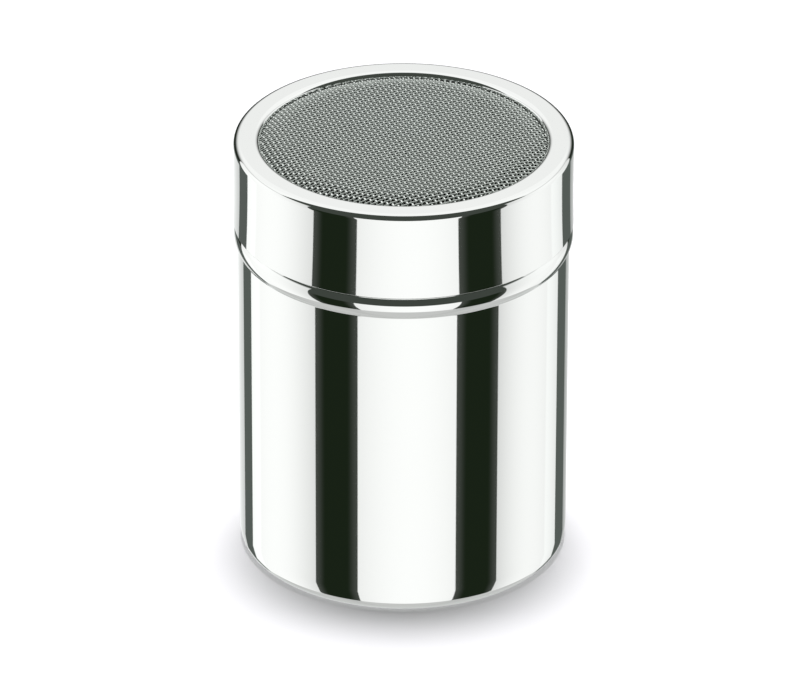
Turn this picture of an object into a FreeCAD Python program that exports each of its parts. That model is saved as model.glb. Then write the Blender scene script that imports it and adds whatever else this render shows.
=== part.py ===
# Mesh-top shaker for sugar, cocoa or spice: a deep-drawn steel cup with a pull-off cap
# whose top is a slightly domed woven-wire screen.
# Millimetres, +Z up. The origin is the centre of the ring that the cup stands on.
import FreeCAD, Part
import math
import os

from FreeCAD import Vector

os.makedirs("parts", exist_ok=True)

# Cup, drawn from one sheet
cup_radius = 34.25              # outside of the wall, and of the neck that the cap slides on
cup_height = 90.7               # table to rim
cup_sheet = 0.6
foot_corner_radius = 2.5        # outside corner between wall and base
foot_lead_radius = 25.0         # slow curve that leads the wall into that corner
foot_lead_angle = 5.0           # degrees of the slow curve
stand_width = 2.2               # flat ring that the cup stands on
recess_depth = 1.2              # how far the middle of the base is pushed up
recess_bend_radius = 1.2

# Bead rolled out of the cup's wall just under the cap
bead_stand_out = 0.8
bead_crest_radius = 3.65
bead_root_radius = 0.6

# Cap: wall, top flange and the lip round its opening, drawn from one sheet
cap_wall_height = 18.8
cap_sheet = 0.6
cap_neck_clearance = 0.1        # all round, between the neck and the cap's narrowest place
cap_foot_gap = 0.12             # between the cap's lower edge and the top of the bead
cap_foot_flare = 1.6            # degrees that the wall leans out at its lower edge
cap_head_lean = 1.2             # degrees that the wall leans out below its top corner
cap_corner_radius = 1.3         # outside corner between wall and flange
cap_edge_round = 0.2            # deburred outer edge of the wall
cap_opening_radius = 29.5
lip_bend_radius = 1.0
lip_straight = 0.2

# Wire screen: a net pressed into a shallow dome with a flat rim
screen_thickness = 0.5
screen_dome_radius = 340.0
screen_shoulder_radius = 20.0
screen_root_radius = 3.0
screen_edge_angle = 12.0        # steepest slope of the dome, just inside the lip
screen_edge_clearance = 0.1     # between the screen's edge and the ring round it
net_pitch = 2.85                # from one opening to the next
net_bar = 0.75                  # metal left between two openings
net_angle = 26.0                # degrees between one set of bars and the X axis
net_margin = 0.6                # metal left between the outermost openings and the lip

# L-section ring that clamps the screen's rim against the lip
ring_sheet = 0.6
ring_bend_radius = 0.75
ring_step_back = 0.3            # its inner edge stands this far outside the cap's opening
ring_fit_clearance = 0.02
ring_head_room = 0.05           # from the top of its wall to the cap's corner bend

FULL_TURN = 360.0
RIGHT_ANGLE = 90.0


def sine(degrees):
    return math.sin(math.radians(degrees))


def cosine(degrees):
    return math.cos(math.radians(degrees))


def step_angle(rise, radius_sum):
    """Degrees of two equal and opposite bends that step a sheet sideways by a rise."""
    return math.degrees(math.acos(1 - rise / radius_sum))


def sheet_section(start, heading, moves, thickness):
    """Section of one bent sheet, as a face in the XZ plane.

    The moves follow the sheet's outer skin from start, with the metal on their left:
    ("run", length) or ("bend", radius of the outer skin, degrees), left turns positive.
    The inner skin follows from the same moves."""
    point = Vector(start[0], 0, start[1])
    angle = heading
    outer = []
    inner = []

    def left_of(degrees):
        return Vector(-sine(degrees), 0, cosine(degrees))

    for move in moves:
        if move[0] == "run":
            step = Vector(cosine(angle), 0, sine(angle)) * move[1]
            inset = left_of(angle) * thickness
            outer.append(Part.LineSegment(point, point + step).toShape())
            inner.append(Part.LineSegment(point + inset, point + step + inset).toShape())
            point = point + step
        else:
            radius, turn = move[1], move[2]
            side = math.copysign(1, turn)
            centre = point + left_of(angle) * (side * radius)
            for edges, r in ((outer, radius), (inner, radius - side * thickness)):
                ends = [centre - left_of(angle + turn * t) * (side * r) for t in (0, 0.5, 1)]
                edges.append(Part.Arc(*ends).toShape())
            angle = angle + turn
            point = centre - left_of(angle) * (side * radius)
    near_end = Part.LineSegment(inner[0].firstVertex(True).Point,
                                outer[0].firstVertex(True).Point).toShape()
    far_end = Part.LineSegment(outer[-1].lastVertex(True).Point,
                               inner[-1].lastVertex(True).Point).toShape()
    return Part.Face(Part.Wire(Part.__sortEdges__(outer + [far_end] + inner + [near_end])))


def turned(face):
    """The solid that a section sweeps round the Z axis."""
    return face.revolve(Vector(0, 0, 0), Vector(0, 0, 1), FULL_TURN)


# Heights that stack up from the cup's rim: ring, screen rim, lip, flange
screen_seat_height = cup_height + ring_sheet
lip_end_height = screen_seat_height + screen_thickness
cap_top_height = lip_end_height + lip_straight + lip_bend_radius
cap_foot_height = cap_top_height - cap_wall_height

# The bead's place on the wall follows from the cap's lower edge
bead_angle = step_angle(bead_stand_out, bead_crest_radius + bead_root_radius)
bead_half_height = (bead_crest_radius + bead_root_radius) * sine(bead_angle)
bead_height = cap_foot_height - cap_foot_gap - bead_half_height

# The cap's wall is one long arc that is narrowest where it grips the neck
cap_waist_radius = cup_radius + cap_neck_clearance + cap_sheet
cap_arc_height = cap_wall_height - cap_corner_radius * (1 + sine(cap_head_lean))
cap_arc_radius = cap_arc_height / (sine(cap_foot_flare) + sine(cap_head_lean))
cap_waist_height = cap_foot_height + cap_arc_radius * sine(cap_foot_flare)


def cap_inside_radius(height):
    """Inside radius of the cap's wall at a height above the table."""
    reach = cap_arc_radius + cap_sheet
    rise = height - cap_waist_height
    return cap_waist_radius + cap_arc_radius - math.sqrt(reach ** 2 - rise ** 2)


ring_outer_radius = cap_inside_radius(cup_height) - ring_fit_clearance


def make_cup():
    recess_angle = step_angle(recess_depth, 2 * recess_bend_radius)
    corner_angle = RIGHT_ANGLE - foot_lead_angle
    corner_width = (foot_corner_radius * sine(corner_angle)
                    + foot_lead_radius * (1 - sine(corner_angle)))
    corner_height = (foot_corner_radius * (1 - cosine(corner_angle))
                     + foot_lead_radius * cosine(corner_angle))
    recess_width = 2 * recess_bend_radius * sine(recess_angle)
    panel_radius = cup_radius - corner_width - stand_width - recess_width
    lower_wall = bead_height - bead_half_height - corner_height
    neck_wall = cup_height - bead_height - bead_half_height
    moves = [
        ("run", panel_radius),
        ("bend", recess_bend_radius, -recess_angle),
        ("bend", recess_bend_radius, recess_angle),
        ("run", stand_width),
        ("bend", foot_corner_radius, corner_angle),
        ("bend", foot_lead_radius, foot_lead_angle),
        ("run", lower_wall),
        ("bend", bead_root_radius, -bead_angle),
        ("bend", bead_crest_radius, 2 * bead_angle),
        ("bend", bead_root_radius, -bead_angle),
        ("run", neck_wall),
    ]
    return turned(sheet_section((0, recess_depth), 0, moves, cup_sheet))


def make_cap_shell():
    foot_radius = cap_waist_radius + cap_arc_radius * (1 - cosine(cap_foot_flare))
    head_radius = cap_waist_radius + cap_arc_radius * (1 - cosine(cap_head_lean))
    flange_outer = head_radius - cap_corner_radius * cosine(cap_head_lean)
    flange_width = flange_outer - cap_opening_radius - lip_bend_radius
    moves = [
        ("bend", cap_arc_radius, -(cap_foot_flare + cap_head_lean)),
        ("bend", cap_corner_radius, RIGHT_ANGLE + cap_head_lean),
        ("run", flange_width),
        ("bend", lip_bend_radius, RIGHT_ANGLE),
        ("run", lip_straight),
    ]
    heading = RIGHT_ANGLE + cap_foot_flare
    shell = turned(sheet_section((foot_radius, cap_foot_height), heading, moves, cap_sheet))
    sharp = [edge for edge in shell.Edges
             if isinstance(edge.Curve, Part.Circle)
             and abs(edge.Curve.Radius - foot_radius) < cap_edge_round / 2
             and abs(edge.Curve.Center.z - cap_foot_height) < cap_edge_round / 2]
    return shell.makeFillet(cap_edge_round, sharp).Solids[0]


def make_net_face(radius):
    """A flat disc with square openings on a turned grid, as one face with holes."""
    half_hole = (net_pitch - net_bar) / 2
    limit = cap_opening_radius - net_margin
    count = int(limit / net_pitch) + 1
    along = Vector(cosine(net_angle), sine(net_angle), 0)
    across = Vector(-sine(net_angle), cosine(net_angle), 0)
    outline = Part.Wire(Part.makeCircle(radius))
    holes = []
    for i in range(-count, count + 1):
        for j in range(-count, count + 1):
            middle = along * (i * net_pitch) + across * (j * net_pitch)
            corners = [middle + along * (a * half_hole) + across * (b * half_hole)
                       for a, b in ((-1, -1), (1, -1), (1, 1), (-1, 1), (-1, -1))]
            if max(corner.Length for corner in corners) < limit:
                holes.append(Part.makePolygon(corners))
    print("net openings:", len(holes))
    return Part.makeFace([outline] + holes, "Part::FaceMakerBullseye")


def make_mesh_screen():
    edge_radius = ring_outer_radius - ring_sheet - screen_edge_clearance
    slope = screen_edge_angle
    dome_sine = ((cap_opening_radius
                  - (screen_shoulder_radius + screen_root_radius) * sine(slope))
                 / (screen_dome_radius - screen_shoulder_radius))
    dome_angle = math.degrees(math.asin(dome_sine))
    rise = (screen_dome_radius * (1 - cosine(dome_angle))
            + screen_shoulder_radius * (cosine(dome_angle) - cosine(slope))
            + screen_root_radius * (1 - cosine(slope)))
    moves = [
        ("bend", screen_dome_radius, -dome_angle),
        ("bend", screen_shoulder_radius, dome_angle - slope),
        ("bend", screen_root_radius, slope),
        ("run", edge_radius - cap_opening_radius),
    ]
    start = (0, screen_seat_height + rise)
    dome = turned(sheet_section(start, 0, moves, screen_thickness))
    net = make_net_face(edge_radius + net_pitch)
    net.translate(Vector(0, 0, screen_seat_height - net_pitch))
    block = net.extrude(Vector(0, 0, rise + 2 * net_pitch))
    return dome.common(block).Solids[0]


def make_mesh_ring():
    inner_radius = cap_opening_radius + ring_step_back
    top_height = cap_top_height - cap_corner_radius - ring_head_room
    moves = [
        ("run", ring_outer_radius - ring_bend_radius - inner_radius),
        ("bend", ring_bend_radius, RIGHT_ANGLE),
        ("run", top_height - cup_height - ring_bend_radius),
    ]
    return turned(sheet_section((inner_radius, cup_height), 0, moves, ring_sheet))


make_cup().exportStep("parts/cup.step")
make_cap_shell().exportStep("parts/cap_shell.step")
make_mesh_screen().exportStep("parts/mesh_screen.step")
make_mesh_ring().exportStep("parts/mesh_ring.step")
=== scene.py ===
import math
import random

import bpy
from mathutils import Matrix, Vector


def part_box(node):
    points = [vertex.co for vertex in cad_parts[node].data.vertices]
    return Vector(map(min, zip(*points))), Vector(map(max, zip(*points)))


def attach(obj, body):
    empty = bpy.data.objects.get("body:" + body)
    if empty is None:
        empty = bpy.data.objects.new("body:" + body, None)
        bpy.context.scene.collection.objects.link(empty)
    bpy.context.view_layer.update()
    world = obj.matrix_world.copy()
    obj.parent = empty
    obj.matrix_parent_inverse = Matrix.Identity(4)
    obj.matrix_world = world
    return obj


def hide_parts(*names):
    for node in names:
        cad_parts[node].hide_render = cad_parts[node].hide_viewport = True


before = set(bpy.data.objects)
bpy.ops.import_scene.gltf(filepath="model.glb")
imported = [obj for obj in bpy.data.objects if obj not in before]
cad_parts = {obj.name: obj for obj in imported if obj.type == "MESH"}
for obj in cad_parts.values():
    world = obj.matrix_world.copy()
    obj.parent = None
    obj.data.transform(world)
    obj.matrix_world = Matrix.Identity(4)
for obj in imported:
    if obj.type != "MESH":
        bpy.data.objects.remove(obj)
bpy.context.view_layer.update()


# The cup: one sheet of stainless steel, deep drawn, with the bead rolled out of its wall
# under the cap. Mirror polished outside, left as drawn inside, and stood on a flat ring
# round its pushed-up base.
MM = 0.001
FULL_TURN = 360
RIGHT_ANGLE = 90
SHEET = 0.6 * MM
SHEET_EDGE = 0.12 * MM          # deburred corner of a cut edge
EDGE_STEPS = 3                  # faces round that corner
ROUND_STEPS = 240               # faces once round a turned piece
BEND_STEP = 5.0                 # most degrees of a bend to one face
LONG_STEP = 2.0 * MM            # most length to one face
SAME_PLACE = 0.0001 * MM        # points nearer than this are one point

cup_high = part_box("cup")[1]
cap_low, cap_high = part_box("cap_shell")
BEAD_STAND_OUT = 0.8 * MM
BEAD_CREST = 3.65 * MM
BEAD_ROOT = 0.6 * MM
CUP_RADIUS = cup_high.x - BEAD_STAND_OUT
FOOT_CORNER = 2.5 * MM
FOOT_LEAD = 25.0 * MM           # slow curve from the wall into the corner
FOOT_LEAD_ANGLE = 5.0
STAND_WIDTH = 2.2 * MM
RECESS_DEPTH = 1.2 * MM
RECESS_BEND = 1.2 * MM
CAP_FOOT_GAP = 0.12 * MM        # between the cap's lower edge and the bead

MIRROR_COLOUR = (0.90, 0.91, 0.90)
MIRROR_ROUGHNESS = (0.02, 0.045)
MIRROR_CLOUDS = 90.0            # cloudy patches to a metre
MIRROR_LINES = (60, 60, 1400)   # polishing lines to a metre along X, Y and Z
MIRROR_LINE_DEPTH = 0.0006 * MM
DRAWN_COLOUR = (0.60, 0.61, 0.59)
DRAWN_ROUGHNESS = (0.20, 0.34)
DRAWN_CLOUDS = 140.0
DRAWN_LINES = (40, 40, 5000)
DRAWN_LINE_DEPTH = 0.008 * MM
CLOUD_DETAIL = 4.0
CLOUD_LOW, CLOUD_HIGH = 0.3, 0.7
LINE_DETAIL = 3.0


def sine(degrees):
    return math.sin(math.radians(degrees))


def cosine(degrees):
    return math.cos(math.radians(degrees))


def toward(degrees):
    """Unit vector of a heading in the section's plane: radius, then height."""
    return Vector((cosine(degrees), sine(degrees)))


def step_angle(rise, radius_sum):
    """Degrees of two equal and opposite bends that step a sheet sideways by a rise."""
    return math.degrees(math.acos(1 - rise / radius_sum))


def walk(start, heading, moves):
    """Stations (point, heading) along a path, one list for each move of it.

    The moves are ("run", length) or ("bend", radius, degrees), left turns positive."""
    point = Vector(start)
    stretches = []
    for move in moves:
        if move[0] == "run":
            steps = max(1, math.ceil(move[1] / LONG_STEP))
            ahead = toward(heading) * (move[1] / steps)
            stretches.append([(point + ahead * k, heading) for k in range(steps + 1)])
        else:
            radius, turn = move[1], move[2]
            side = math.copysign(1, turn)
            centre = point + toward(heading + RIGHT_ANGLE * side) * radius
            length = math.radians(abs(turn)) * radius
            steps = max(math.ceil(abs(turn) / BEND_STEP), math.ceil(length / LONG_STEP))
            headings = [heading + turn * k / steps for k in range(steps + 1)]
            stretches.append([(centre - toward(h + RIGHT_ANGLE * side) * radius, h)
                              for h in headings])
        point, heading = stretches[-1][-1]
    return stretches


def trimmed(move, length):
    """The same move, shorter by a length."""
    if move[0] == "run":
        return ("run", move[1] - length)
    turn = move[2] - math.copysign(math.degrees(length / move[1]), move[2])
    return ("bend", move[1], turn)


def cut_edge(middle, facing):
    """Strips round a cut edge: a deburred corner, the flat and the other corner."""
    corners = []
    for side, first in ((-RIGHT_ANGLE, facing - RIGHT_ANGLE), (RIGHT_ANGLE, facing)):
        centre = middle + toward(facing + side) * (SHEET / 2 - SHEET_EDGE)
        turn = [toward(first + RIGHT_ANGLE * k / EDGE_STEPS) for k in range(EDGE_STEPS + 1)]
        corners.append([(centre + normal * SHEET_EDGE, normal) for normal in turn])
    flat = [(corners[0][-1][0], toward(facing)), (corners[1][0][0], toward(facing))]
    return [corners[0], flat, corners[1]]


def sheet_section(start, heading, moves):
    """Strips of (point, normal, finish) round the section of a bent sheet.

    The moves follow the outer skin, with the metal on their left. The far end is a cut
    edge, and so is the near end unless it lies on the axis. Finish 0 is the outer skin's."""
    moves = list(moves)
    moves[-1] = trimmed(moves[-1], SHEET_EDGE)
    on_axis = start[0] < SAME_PLACE
    if not on_axis:
        moves[0] = trimmed(moves[0], SHEET_EDGE)
        start = Vector(start) + toward(heading) * SHEET_EDGE
        if moves[0][0] == "bend":
            heading += math.copysign(math.degrees(SHEET_EDGE / moves[0][1]), moves[0][2])
    stretches = walk(start, heading, moves)
    outer = [[(p, toward(h - RIGHT_ANGLE)) for p, h in stretch] for stretch in stretches]
    inner = [[(p + toward(h + RIGHT_ANGLE) * SHEET, toward(h + RIGHT_ANGLE))
              for p, h in reversed(stretch)] for stretch in reversed(stretches)]
    ends = []
    for point, h, facing in ((*stretches[-1][-1], 0), (*stretches[0][0], FULL_TURN / 2)):
        ends.append(cut_edge(point + toward(h + RIGHT_ANGLE) * (SHEET / 2), h + facing))
    strips = [(strip, 0) for strip in outer + ends[0]] + [(strip, 1) for strip in inner]
    if not on_axis:
        strips += [(strip, 0) for strip in ends[1]]
    return strips


def turned_piece(name, strips, finishes):
    """A mesh object swept round the Z axis from the strips of a section."""
    rings, verts, faces, normals, finish_of = [], [], [], [], []

    def ring(point):
        """First vertex and number of vertices of the ring that a point sweeps."""
        for known, first, count in (rings[-1:] + rings[:1]):
            if (known - point).length < SAME_PLACE:
                return first, count
        count = 1 if point.x < SAME_PLACE else ROUND_STEPS
        rings.append((point, len(verts), count))
        for k in range(count):
            turn = FULL_TURN * k / count
            verts.append((point.x * cosine(turn), point.x * sine(turn), point.y))
        return rings[-1][1:]

    for strip, finish in strips:
        for (p, n), (q, m) in zip(strip, strip[1:]):
            low, high = ring(p), ring(q)
            for k in range(ROUND_STEPS):
                corners = []
                for (first, count), normal, step in ((low, n, k), (low, n, k + 1),
                                                     (high, m, k + 1), (high, m, k)):
                    vertex = first + step % count
                    turn = FULL_TURN * step / ROUND_STEPS
                    facing = (normal.x * cosine(turn), normal.x * sine(turn), normal.y)
                    if vertex not in [corner[0] for corner in corners]:
                        corners.append((vertex, facing))
                faces.append([corner[0] for corner in corners])
                normals.extend(corner[1] for corner in corners)
                finish_of.append(finish)
    mesh = bpy.data.meshes.new(name)
    mesh.from_pydata(verts, [], faces)
    for finish in finishes:
        mesh.materials.append(finish)
    mesh.polygons.foreach_set("material_index", finish_of)
    mesh.shade_smooth()
    mesh.normals_split_custom_set(normals)
    piece = bpy.data.objects.new(name, mesh)
    bpy.context.collection.objects.link(piece)
    return piece


def add_node(tree, kind, settings=None, sockets=None):
    """A new node with its settings, and its sockets set to values or linked to outputs."""
    node = tree.nodes.new(kind)
    for key, value in (settings or {}).items():
        setattr(node, key, value)
    for key, value in (sockets or {}).items():
        if isinstance(value, bpy.types.NodeSocket):
            tree.links.new(value, node.inputs[key])
        else:
            node.inputs[key].default_value = value
    return node


def steel(name, colour, roughness, clouds, lines, line_depth):
    """A metal finish: roughness from low to high in cloudy patches, and fine lines.

    Clouds are patches to a metre, and lines are lines to a metre along X, Y and Z."""
    material = bpy.data.materials.new(name)
    material.use_nodes = True
    tree = material.node_tree
    shader = tree.nodes["Principled BSDF"]
    shader.inputs["Base Color"].default_value = (*colour, 1)
    shader.inputs["Metallic"].default_value = 1.0
    place = add_node(tree, "ShaderNodeTexCoord").outputs["Object"]
    cloud = add_node(tree, "ShaderNodeTexNoise", None,
                     {"Vector": place, "Scale": clouds, "Detail": CLOUD_DETAIL})
    spread = add_node(tree, "ShaderNodeMapRange", None, {
        "Value": cloud.outputs["Fac"], "From Min": CLOUD_LOW, "From Max": CLOUD_HIGH,
        "To Min": roughness[0], "To Max": roughness[1]})
    tree.links.new(spread.outputs["Result"], shader.inputs["Roughness"])
    stretched = add_node(tree, "ShaderNodeMapping", None,
                         {"Vector": place, "Scale": lines})
    drawn_lines = add_node(tree, "ShaderNodeTexNoise", None, {
        "Vector": stretched.outputs["Vector"], "Scale": 1.0, "Detail": LINE_DETAIL})
    relief = add_node(tree, "ShaderNodeBump", None, {
        "Height": drawn_lines.outputs["Fac"], "Distance": line_depth, "Strength": 1.0})
    tree.links.new(relief.outputs["Normal"], shader.inputs["Normal"])
    return material


mirror_steel = steel("mirror_steel", MIRROR_COLOUR, MIRROR_ROUGHNESS, MIRROR_CLOUDS,
                     MIRROR_LINES, MIRROR_LINE_DEPTH)
drawn_steel = steel("drawn_steel", DRAWN_COLOUR, DRAWN_ROUGHNESS, DRAWN_CLOUDS,
                    DRAWN_LINES, DRAWN_LINE_DEPTH)

bead_angle = step_angle(BEAD_STAND_OUT, BEAD_CREST + BEAD_ROOT)
bead_half_height = (BEAD_CREST + BEAD_ROOT) * sine(bead_angle)
bead_height = cap_low.z - CAP_FOOT_GAP - bead_half_height
recess_angle = step_angle(RECESS_DEPTH, 2 * RECESS_BEND)
corner_angle = RIGHT_ANGLE - FOOT_LEAD_ANGLE
corner_width = FOOT_CORNER * sine(corner_angle) + FOOT_LEAD * (1 - sine(corner_angle))
corner_height = FOOT_CORNER * (1 - cosine(corner_angle)) + FOOT_LEAD * cosine(corner_angle)
panel_radius = (CUP_RADIUS - corner_width - STAND_WIDTH
                - 2 * RECESS_BEND * sine(recess_angle))
cup_moves = [
    ("run", panel_radius),
    ("bend", RECESS_BEND, -recess_angle),
    ("bend", RECESS_BEND, recess_angle),
    ("run", STAND_WIDTH),
    ("bend", FOOT_CORNER, corner_angle),
    ("bend", FOOT_LEAD, FOOT_LEAD_ANGLE),
    ("run", bead_height - bead_half_height - corner_height),
    ("bend", BEAD_ROOT, -bead_angle),
    ("bend", BEAD_CREST, 2 * bead_angle),
    ("bend", BEAD_ROOT, -bead_angle),
    ("run", cup_high.z - bead_height - bead_half_height),
]
cup_strips = sheet_section((0, RECESS_DEPTH), 0, cup_moves)
cup_sheet = turned_piece("cup_sheet", cup_strips, [mirror_steel, drawn_steel])
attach(cup_sheet, "cup_body")
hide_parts("cup")


# The cap's shell: wall, flat flange and the lip turned down round the opening, drawn from
# one sheet and polished like the cup. Its wall leans out at both ends from the waist
# that grips the neck.
CAP_CLEARANCE = 0.1 * MM        # all round, between the neck and the cap's waist
CAP_FOOT_FLARE = 1.6            # degrees that the wall leans out at its lower edge
CAP_HEAD_LEAN = 1.2             # and below its top corner
CAP_CORNER = 1.3 * MM
OPENING_RADIUS = 29.5 * MM
LIP_BEND = 1.2 * MM

cap_waist = CUP_RADIUS + CAP_CLEARANCE + SHEET
cap_wall_height = cap_high.z - cap_low.z
cap_arc = ((cap_wall_height - CAP_CORNER * (1 + sine(CAP_HEAD_LEAN)))
           / (sine(CAP_FOOT_FLARE) + sine(CAP_HEAD_LEAN)))
cap_foot_radius = cap_waist + cap_arc * (1 - cosine(CAP_FOOT_FLARE))
cap_head_radius = cap_waist + cap_arc * (1 - cosine(CAP_HEAD_LEAN))
flange_width = (cap_head_radius - CAP_CORNER * cosine(CAP_HEAD_LEAN)
                - OPENING_RADIUS - LIP_BEND)
cap_moves = [
    ("bend", cap_arc, -(CAP_FOOT_FLARE + CAP_HEAD_LEAN)),
    ("bend", CAP_CORNER, RIGHT_ANGLE + CAP_HEAD_LEAN),
    ("run", flange_width),
    ("bend", LIP_BEND, RIGHT_ANGLE),
]
cap_foot = (cap_foot_radius, cap_low.z)
cap_strips = sheet_section(cap_foot, RIGHT_ANGLE + CAP_FOOT_FLARE, cap_moves)
cap_sheet = turned_piece("cap_sheet", cap_strips, [mirror_steel, drawn_steel])
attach(cap_sheet, "cap_body")
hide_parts("cap_shell")


# The ring inside the cap: an L-section strip of unpolished steel, pressed into the
# cap's top, which clamps the wire cloth's rim against the lip.
RING_BEND = 0.75 * MM
RING_STEP_BACK = 0.3 * MM       # its inner edge stands this far outside the opening
STRIP_COLOUR = (0.68, 0.68, 0.67)
STRIP_ROUGHNESS = (0.28, 0.42)
STRIP_CLOUDS = 260.0
STRIP_LINES = (30, 30, 3000)
STRIP_LINE_DEPTH = 0.004 * MM

ring_low, ring_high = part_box("mesh_ring")
ring_inner = OPENING_RADIUS + RING_STEP_BACK
rolled_steel = steel("rolled_steel", STRIP_COLOUR, STRIP_ROUGHNESS, STRIP_CLOUDS,
                     STRIP_LINES, STRIP_LINE_DEPTH)
ring_moves = [
    ("run", ring_high.x - RING_BEND - ring_inner),
    ("bend", RING_BEND, RIGHT_ANGLE),
    ("run", ring_high.z - ring_low.z - RING_BEND),
]
ring_strips = sheet_section((ring_inner, ring_low.z), 0, ring_moves)
clamp_ring = turned_piece("clamp_ring", ring_strips, [rolled_steel, rolled_steel])
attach(clamp_ring, "cap_body")
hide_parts("mesh_ring")


# The wire cloth: stainless wires in a plain weave, rolled so that the crimped wires'
# knuckles are flat and bright on top, then pressed into a shallow dome with a steep
# shoulder and a flat rim that the ring clamps. Both sets are one steel, coloured apart:
# the weft lighter as a painted highlight on its knuckles, the warp darker as painted shade.
WARP_WIRE = 0.35 * MM
WEFT_WIRE = 0.36 * MM
WIRE_SIDES = 8
STEPS_TO_A_CROSSING = 6
WARP_ANGLE = 27.0               # the straighter wires, which rise to the right
WEFT_ANGLE = 107.5              # the crimped wires, whose knuckles catch the light
WARP_PITCH = 0.87 * MM
WEFT_PITCH = 0.965 * MM
WARP_CRIMP = 0.03 * MM          # half the height that a wire rises and falls
WEFT_CRIMP = 0.42 * MM
ROLLED_FLAT = 0.20 * MM         # how much lower the weft's knuckles were rolled
DOME = 4000.0 * MM              # radius of the flat middle
DOME_SHOULDER = 12.3 * MM
DOME_ROOT = 0.6 * MM            # bend between the shoulder and the rim
DOME_EDGE_ANGLE = 25.0          # steepest slope, just inside the lip
CLOTH = 0.5 * MM                # thickness of the clamped rim
CLOTH_CLEARANCE = 0.1 * MM      # between its edge and the ring round it
CLAMPED_CRIMP = 0.1             # share of the crimp left where the rim is pressed flat
CLAMP_WIDTH = 0.5 * MM          # the crimp dies out over this width
DRIFT = 0.10 * MM               # how far the weave wanders from a true grid
DRIFT_LENGTH = 17.0 * MM
DRIFT_SHARES = (1.0, 0.6, 0.8, 0.7)     # how fast each of four waves turns
DRIFT_STARTS = (0.8, 0.0, 2.1, 0.5)     # where each starts, in radians
UNEVEN = 0.018 * MM             # how unevenly the wires are spaced
WEAVE_SEED = 7
WIRE_CLOUDS = 900.0
WIRE_MARKS = (2500, 2500, 2500)
# painted shade: the warp is coloured darker than the weft, though both are the same steel
WARP_PAINTED_SHADE_COLOUR = (0.68, 0.72, 0.69)
WARP_ROUGHNESS = (0.12, 0.20)
WARP_MARK_DEPTH = 0.004 * MM
# painted highlight: the weft is coloured lighter than the warp, though both are the same
# steel
WEFT_PAINTED_HIGHLIGHT_COLOUR = (0.91, 0.95, 0.92)
WEFT_ROUGHNESS = (0.06, 0.12)
WEFT_MARK_DEPTH = 0.002 * MM

cloth_radius = ring_high.x - SHEET - CLOTH_CLEARANCE
rim_height = ring_low.z + SHEET + CLOTH / 2


def dome_height(radius):
    """Height of the cloth's middle above its rim, at a radius."""
    shoulder_start = ((OPENING_RADIUS - (DOME_SHOULDER + DOME_ROOT) * sine(DOME_EDGE_ANGLE))
                      / (DOME - DOME_SHOULDER) * DOME)
    shoulder_end = OPENING_RADIUS - DOME_ROOT * sine(DOME_EDGE_ANGLE)
    top_sine = shoulder_start / DOME
    if radius >= OPENING_RADIUS:
        return 0.0
    root_rise = DOME_ROOT * (1 - cosine(DOME_EDGE_ANGLE))
    if radius >= shoulder_end:
        reach = OPENING_RADIUS - radius
        return DOME_ROOT - math.sqrt(DOME_ROOT ** 2 - reach ** 2)
    shoulder_centre = shoulder_end - DOME_SHOULDER * sine(DOME_EDGE_ANGLE)
    shoulder_base = root_rise - DOME_SHOULDER * cosine(DOME_EDGE_ANGLE)
    if radius >= shoulder_start:
        return shoulder_base + math.sqrt(DOME_SHOULDER ** 2 - (radius - shoulder_centre) ** 2)
    crown = shoulder_base - (DOME - DOME_SHOULDER) * math.sqrt(1 - top_sine ** 2)
    return crown + math.sqrt(DOME ** 2 - radius ** 2)


def drifted(x, y):
    """Where a point of the true grid lies in the cloth as it was stretched.

    Each coordinate wanders by the product of two waves, with their own length and start."""
    wave = 2 * math.pi / DRIFT_LENGTH
    first, second, third, fourth = [
        wave * share * place + start
        for place, share, start in zip((y, x, x, y), DRIFT_SHARES, DRIFT_STARTS)]
    return (x + DRIFT * math.sin(first) * math.cos(second),
            y + DRIFT * math.sin(third) * math.cos(fourth))


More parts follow.
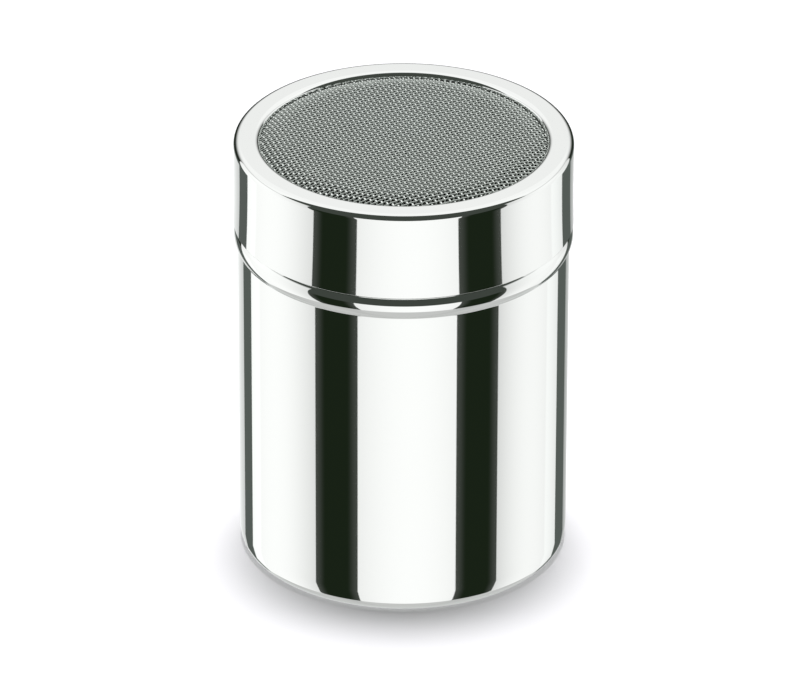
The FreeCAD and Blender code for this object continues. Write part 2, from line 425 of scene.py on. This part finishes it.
def wires(name, wire, angle, pitch, other_angle, other_pitch, crimp, draw, finish):
    """All the parallel wires of the cloth in one direction, as one piece."""
    along = Vector((cosine(angle), sine(angle)))
    across = Vector((-sine(angle), cosine(angle)))
    other_across = Vector((-sine(other_angle), cosine(other_angle)))
    spacing = other_pitch / abs(along.dot(other_across))
    step = spacing / STEPS_TO_A_CROSSING
    verts, faces = [], []
    crown = WEFT_CRIMP + WEFT_WIRE / 2 - ROLLED_FLAT
    count = int(cloth_radius / pitch)
    for i in range(-count, count + 1):
        offset = i * pitch
        half = math.sqrt(cloth_radius ** 2 - offset ** 2)
        stray = draw.uniform(-UNEVEN, UNEVEN)
        steps = int(half / step)
        centres = []
        for k in range(-steps, steps + 1):
            place = along * (k * step) + across * offset
            crossing = place.dot(other_across) / other_pitch
            x, y = drifted(*(place + across * stray))
            radius = min(math.hypot(x, y), cloth_radius)
            free = min(1.0, max(0.0, (OPENING_RADIUS - radius) / CLAMP_WIDTH))
            wave = crimp * (CLAMPED_CRIMP + (1 - CLAMPED_CRIMP) * free)
            height = rim_height + dome_height(radius)
            height += wave * math.cos(math.pi * (crossing + i))
            centres.append(Vector((x, y, height)))
        first = len(verts)
        for k, centre in enumerate(centres):
            ahead = centres[min(k + 1, len(centres) - 1)] - centres[max(k - 1, 0)]
            side = ahead.cross(Vector((0, 0, 1))).normalized()
            lift = side.cross(ahead).normalized()
            for s in range(WIRE_SIDES):
                turn = FULL_TURN * (s + 0.5) / WIRE_SIDES
                corner = centre + (side * cosine(turn) + lift * sine(turn)) * (wire / 2)
                radius = min(math.hypot(corner.x, corner.y), cloth_radius)
                rolled_height = rim_height + dome_height(radius) + crown
                corner.z = min(corner.z, rolled_height)
                verts.append(corner)
        for k in range(len(centres) - 1):
            low = first + k * WIRE_SIDES
            for s in range(WIRE_SIDES):
                t = (s + 1) % WIRE_SIDES
                faces.append((low + s, low + WIRE_SIDES + s, low + WIRE_SIDES + t, low + t))
        faces.append([first + s for s in range(WIRE_SIDES)])
        faces.append([len(verts) - 1 - s for s in range(WIRE_SIDES)])
    mesh = bpy.data.meshes.new(name)
    mesh.from_pydata(verts, [], faces)
    mesh.materials.append(finish)
    mesh.shade_smooth()
    piece = bpy.data.objects.new(name, mesh)
    bpy.context.collection.objects.link(piece)
    return piece


# the two wire finishes are a shaded and a lit copy of one steel: painted shade on the warp,
# painted highlight on the weft
warp_steel_painted_shade = steel("warp_steel_painted_shade", WARP_PAINTED_SHADE_COLOUR, WARP_ROUGHNESS, WIRE_CLOUDS, WIRE_MARKS,
                   WARP_MARK_DEPTH)
weft_steel_painted_highlight = steel("weft_steel_painted_highlight", WEFT_PAINTED_HIGHLIGHT_COLOUR, WEFT_ROUGHNESS, WIRE_CLOUDS, WIRE_MARKS,
                   WEFT_MARK_DEPTH)
draw = random.Random(WEAVE_SEED)
warp = wires("warp_wires", WARP_WIRE, WARP_ANGLE, WARP_PITCH, WEFT_ANGLE, WEFT_PITCH,
             WARP_CRIMP, draw, warp_steel_painted_shade)
weft = wires("weft_wires", WEFT_WIRE, WEFT_ANGLE, WEFT_PITCH, WARP_ANGLE, WARP_PITCH,
             -WEFT_CRIMP, draw, weft_steel_painted_highlight)
for piece in (warp, weft):
    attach(piece, "cap_body")
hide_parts("mesh_screen")
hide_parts("mesh_screen")


# The floor: a plain pale sheet. It keeps the soft shadow, and its own white is lifted for
# the camera alone.
FLOOR_SIZE = 6.0
FLOOR_DROP = 0.02 * MM
FLOOR_COLOUR = (0.80, 0.79, 0.82)
FLOOR_LIFT = 0.17               # white added for the camera alone

floor_mesh = bpy.data.meshes.new("floor")
half = FLOOR_SIZE / 2
floor_mesh.from_pydata([(-half, -half, -FLOOR_DROP), (half, -half, -FLOOR_DROP),
                        (half, half, -FLOOR_DROP), (-half, half, -FLOOR_DROP)],
                       [], [(0, 1, 2, 3)])
floor = bpy.data.objects.new("floor", floor_mesh)
bpy.context.collection.objects.link(floor)
floor_paint = bpy.data.materials.new("floor_paint")
floor_paint.use_nodes = True
tree = floor_paint.node_tree
tree.nodes.remove(tree.nodes["Principled BSDF"])
seen = add_node(tree, "ShaderNodeLightPath")
pale = add_node(tree, "ShaderNodeBsdfDiffuse", None, {"Color": (*FLOOR_COLOUR, 1)})
lifted = add_node(tree, "ShaderNodeMath", {"operation": "MULTIPLY"},
                  {0: seen.outputs["Is Camera Ray"], 1: FLOOR_LIFT})
white = add_node(tree, "ShaderNodeEmission", None, {"Strength": lifted.outputs[0]})
paper = add_node(tree, "ShaderNodeAddShader", None,
                 {0: pale.outputs[0], 1: white.outputs[0]})
clear = add_node(tree, "ShaderNodeBsdfTransparent")
either = add_node(tree, "ShaderNodeMixShader", None, {
    0: seen.outputs["Is Glossy Ray"], 1: paper.outputs[0], 2: clear.outputs[0]})
tree.links.new(either.outputs[0], tree.nodes["Material Output"].inputs["Surface"])
floor_mesh.materials.append(floor_paint)


# The studio: white panels with dark gaps between them, a white sky behind the object, a
# dark ceiling elsewhere and a grey table below. The camera itself sees plain white. One
# broad lamp overhead gives the floor its soft shadow. Directions are in degrees.
GAP_FRONT = (0.0105, 0.0170, 0.0088, 1)
GAP_BACK = (0.098, 0.113, 0.103, 1)
CEILING_FRONT = (0.052, 0.061, 0.052, 1)
CEILING_FRONT_FOOT = -3.0
CEILING_BACK = (0.014, 0.020, 0.013, 1)
CEILING_BACK_FOOT = -12.0
BACK_START = 120.0
TABLE_TOP = -44.0
TABLE_LIGHT = 0.54
BORDER_FADE = 3.0               # over which a border fades
SKY_START = 88.0                # round overhead, from the horizon on the camera's side
SKY_FOOT = 18.0                 # height of its lower border
SKY_FADE = 28.0
SKY_LIGHT = 1.0
PANEL_EDGE = 0.5
SWELL_POWER = 2.0               # how a panel's swell falls off from its middle
FRONT_GAPS = ((-64.0, -31.8), (37.6, 69.8))
GAP_GLOW = 0.05                 # light that spills from the panels into a gap
GLOW_REACH = 8.0                # how far into the gap it comes
GLOW_END = 100.0                # azimuth beyond which there is none
GLOW_FADE = 40.0
# name, azimuths from and to, light at each, swell of light in its middle, height of its
# top edge and its fade
PANELS = (
    ("front", -31.8, 37.6, 0.88, 0.93, 0.12, -3, 1.5),
    ("right", 69.8, 137, 0.69, 0.76, 0.27, 20, 8),
    ("left", -133, -64.0, 0.95, 0.74, 0.20, 20, 8),
    ("back_right", 156.4, 181, 0.26, 0.80, 0.0, -21, 7),
    ("back_left", -181, -149.4, 1.03, 0.54, 0.0, -21, 7),
)

# sockets of a Mix node for colours
MIX_SHARE, MIX_FIRST, MIX_SECOND = 0, 6, 7
MIX_RESULT = 2

world = bpy.data.worlds.new("studio")
bpy.context.scene.world = world
world.use_nodes = True
tree = world.node_tree
tree.nodes.clear()
direction = add_node(tree, "ShaderNodeTexCoord").outputs["Generated"]
parts = add_node(tree, "ShaderNodeSeparateXYZ", None, {0: direction}).outputs


def reckon(operation, first, second=0.0):
    """The output of one Math node of the studio."""
    return add_node(tree, "ShaderNodeMath", {"operation": operation},
                    {0: first, 1: second}).outputs[0]


def rise(value, place, width):
    """0 below a place and 1 above it, fading over a width."""
    return add_node(tree, "ShaderNodeMapRange", {"interpolation_type": "SMOOTHSTEP"}, {
        "Value": value, "From Min": place - width / 2, "From Max": place + width / 2,
        "To Min": 0.0, "To Max": 1.0}).outputs[0]


def fall(value, place, width):
    """1 below a place and 0 above it, fading over a width."""
    return reckon("SUBTRACT", 1.0, rise(value, place, width))


towards_camera = reckon("MULTIPLY", parts[1], -1.0)
azimuth = reckon("DEGREES", reckon("ARCTAN2", parts[0], towards_camera))
height = reckon("DEGREES", reckon("ARCSINE", parts[2]))
overhead = reckon("DEGREES", reckon("ARCTAN2", parts[2], towards_camera))
total = reckon("MULTIPLY", fall(height, TABLE_TOP, BORDER_FADE), TABLE_LIGHT)
above_table = rise(height, TABLE_TOP, BORDER_FADE)
for name, start, end, first_light, last_light, swell, top, fade in PANELS:
    slope = add_node(tree, "ShaderNodeMapRange", None, {
        "Value": azimuth, "From Min": start, "From Max": end,
        "To Min": first_light, "To Max": last_light}).outputs[0]
    place = add_node(tree, "ShaderNodeMapRange", None, {
        "Value": azimuth, "From Min": start, "From Max": end,
        "To Min": -1.0, "To Max": 1.0}).outputs[0]
    crest = reckon("SUBTRACT", 1.0, reckon("POWER", reckon("ABSOLUTE", place), SWELL_POWER))
    light = reckon("ADD", slope, reckon("MULTIPLY", crest, swell))
    across = reckon("MULTIPLY", rise(azimuth, start, PANEL_EDGE),
                    fall(azimuth, end, PANEL_EDGE))
    up = reckon("MULTIPLY", above_table, fall(height, top, fade))
    total = reckon("ADD", total, reckon("MULTIPLY", light, reckon("MULTIPLY", across, up)))
glow = reckon("MULTIPLY", fall(reckon("ABSOLUTE", azimuth), GLOW_END, GLOW_FADE),
              fall(height, CEILING_FRONT_FOOT, BORDER_FADE))
for start, end in FRONT_GAPS:
    inside = reckon("MULTIPLY", rise(azimuth, start + GLOW_REACH / 2, GLOW_REACH),
                    fall(azimuth, end - GLOW_REACH / 2, GLOW_REACH))
    glow = reckon("MULTIPLY", glow, reckon("SUBTRACT", 1.0, inside))
total = reckon("ADD", total, reckon("MULTIPLY", glow, GAP_GLOW))
sky = reckon("MULTIPLY", rise(overhead, SKY_START, BORDER_FADE),
             rise(height, SKY_FOOT, SKY_FADE))
total = reckon("MAXIMUM", total, reckon("MULTIPLY", sky, SKY_LIGHT))
panel_white = add_node(tree, "ShaderNodeVectorMath", {"operation": "SCALE"},
                       {0: (1.0, 1.0, 1.0), "Scale": total})
front = add_node(tree, "ShaderNodeMix", {"data_type": "RGBA"}, {
    MIX_SHARE: rise(height, CEILING_FRONT_FOOT, BORDER_FADE),
    MIX_FIRST: GAP_FRONT, MIX_SECOND: CEILING_FRONT})
back = add_node(tree, "ShaderNodeMix", {"data_type": "RGBA"}, {
    MIX_SHARE: rise(height, CEILING_BACK_FOOT, BORDER_FADE),
    MIX_FIRST: GAP_BACK, MIX_SECOND: CEILING_BACK})
behind = rise(reckon("ABSOLUTE", azimuth), BACK_START, BORDER_FADE)
gaps = add_node(tree, "ShaderNodeMix", {"data_type": "RGBA"}, {
    MIX_SHARE: behind, MIX_FIRST: front.outputs[MIX_RESULT],
    MIX_SECOND: back.outputs[MIX_RESULT]})
studio_colour = add_node(tree, "ShaderNodeVectorMath", {"operation": "ADD"},
                         {0: panel_white.outputs[0], 1: gaps.outputs[MIX_RESULT]})
studio_light = add_node(tree, "ShaderNodeBackground", None,
                        {"Color": studio_colour.outputs[0], "Strength": 1.0})
plain_white = add_node(tree, "ShaderNodeBackground", None,
                       {"Color": (1, 1, 1, 1), "Strength": 1.0})
seen = add_node(tree, "ShaderNodeLightPath")
either = add_node(tree, "ShaderNodeMixShader", None, {
    0: seen.outputs["Is Camera Ray"], 1: studio_light.outputs[0],
    2: plain_white.outputs[0]})
add_node(tree, "ShaderNodeOutputWorld", None, {"Surface": either.outputs[0]})

LAMP_ANGLE = 11.0               # how wide it looks from the object
LAMP_TILT = 4.2                 # degrees that it hangs behind the object's axis
LAMP_LIGHT = 2.3
lamp = bpy.data.lights.new("overhead_lamp", "SUN")
lamp.energy = LAMP_LIGHT
lamp.angle = math.radians(LAMP_ANGLE)
lamp_object = bpy.data.objects.new("overhead_lamp", lamp)
lamp_object.rotation_euler = (-math.radians(LAMP_TILT), 0, 0)
lamp_object.visible_glossy = False
bpy.context.collection.objects.link(lamp_object)


# The camera: a long lens in front of the shaker and above it, looking down at the middle
# of its axis, with the object framed as in the photograph.
CAMERA_ANGLE = 28.44            # degrees that it looks down
CAMERA_DISTANCE = 1.7408
CAMERA_TARGET = 0.0479          # height on the axis that it looks at
LENS_PIXELS = 8378.0            # focal length in pixels of the picture
PICTURE_WIDTH = 800
SENSOR_WIDTH = 36.0
RIGHTWARD = 3.28                # pixels that the object stands right of the middle
UPWARD = 13.21                  # and above it
CAMERA_ROLL = 0.151

camera_data = bpy.data.cameras.new("camera")
camera_data.sensor_width = SENSOR_WIDTH
camera_data.lens = LENS_PIXELS * SENSOR_WIDTH / PICTURE_WIDTH
camera_data.shift_x = -RIGHTWARD / PICTURE_WIDTH
camera_data.shift_y = -UPWARD / PICTURE_WIDTH
camera = bpy.data.objects.new("camera", camera_data)
bpy.context.collection.objects.link(camera)
camera.location = (0, -CAMERA_DISTANCE * cosine(CAMERA_ANGLE),
                   CAMERA_TARGET + CAMERA_DISTANCE * sine(CAMERA_ANGLE))
camera.rotation_mode = "XYZ"
look = Vector((0, cosine(CAMERA_ANGLE), -sine(CAMERA_ANGLE))).to_track_quat("-Z", "Y")
roll = Matrix.Rotation(math.radians(CAMERA_ROLL), 3, "Z")
camera.rotation_euler = (look.to_matrix() @ roll).to_euler()
bpy.context.scene.camera = camera
bpy.context.scene.view_settings.view_transform = "Standard"
